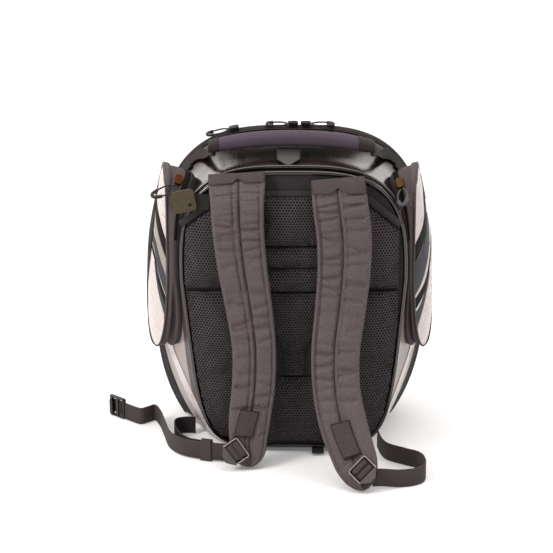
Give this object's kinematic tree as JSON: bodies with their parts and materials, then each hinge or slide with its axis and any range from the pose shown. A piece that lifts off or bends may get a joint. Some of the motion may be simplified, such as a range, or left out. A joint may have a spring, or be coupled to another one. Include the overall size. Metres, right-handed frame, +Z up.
{
  "type": "motorcycle tank bag",
  "caption": "Motorcycle tank bag with a backpack harness, padded mesh back, vinyl yoke, clamshell side pockets, carry handle and webbing, standing on its narrow end.",
  "frame": {"origin": "middle of the flat base, on the floor, 88 mm behind the seam of the padded back", "axes": "+Z up, -Y the way the padded back and its harness face, +X to the right when the harness side is looked at"},
  "size_m": [0.3985, 0.3219, 0.379],
  "materials": {
    "vinyl": "glossy coated vinyl",
    "white_vinyl": "glossy coated vinyl, white",
    "lid_cloth": "woven nylon",
    "strap_cloth": "woven polyester",
    "spacer_mesh": "open spacer mesh over foam",
    "webbing": "ribbed webbing",
    "gusset_cloth": "ribbed zip tape and gusset cloth",
    "neoprene": "jersey-faced neoprene",
    "buckle_plastic": "moulded, satin",
    "patch_rubber": "moulded, matt, blank",
    "slider_brass": "worn copper-brass plate",
    "pull_cord": "braided cord with a moulded grip",
    "olive_cloth": "olive cloth tab"
  },
  "bodies": {
    "root": {"yoke": "vinyl", "side_panel_left": "white_vinyl", "side_panel_right": "white_vinyl", "base_panel": "lid_cloth", "zip_band": "webbing", "lid_band_left": "lid_cloth", "lid_band_right": "lid_cloth", "front_lid": "lid_cloth", "back_wall": "strap_cloth", "back_piping": "vinyl", "yoke_piping": "vinyl", "pad_upper_left": "spacer_mesh", "pad_upper_right": "spacer_mesh", "pad_lower_left": "spacer_mesh", "pad_lower_right": "spacer_mesh", "pad_centre_top": "spacer_mesh", "pad_rib_upper": "spacer_mesh", "pad_rib_lower": "spacer_mesh", "pad_centre_middle": "spacer_mesh", "pad_centre_low": "spacer_mesh", "shoulder_strap_left": "strap_cloth", "strap_tab_left": "webbing", "ladder_lock_left": "buckle_plastic", "shoulder_strap_right": "strap_cloth", "strap_tab_right": "webbing", "ladder_lock_right": "buckle_plastic", "webbing_left": "webbing", "webbing_anchor_left": "webbing", "webbing_right": "webbing", "web_keeper_left": "webbing", "tri_glide_left": "buckle_plastic", "base_tab": "webbing", "pocket_gusset_left": "gusset_cloth", "pocket_face_left": "white_vinyl", "pocket_gusset_right": "gusset_cloth", "pocket_face_right": "white_vinyl", "carry_handle": "neoprene", "handle_tab_left": "webbing", "handle_tab_right": "webbing", "shield_patch": "patch_rubber", "zip_slider_left": "buckle_plastic", "zip_pull_left": "pull_cord", "zip_slider_centre": "buckle_plastic", "zip_pull_centre": "pull_cord", "zip_slider_right": "buckle_plastic", "zip_pull_right": "pull_cord", "pocket_slider_left": "slider_brass", "pocket_pull_left": "pull_cord", "pocket_slider_right": "slider_brass", "pocket_pull_right": "pull_cord", "tether_tab": "olive_cloth", "tether_strap": "webbing"}
  },
  "joints": []
}
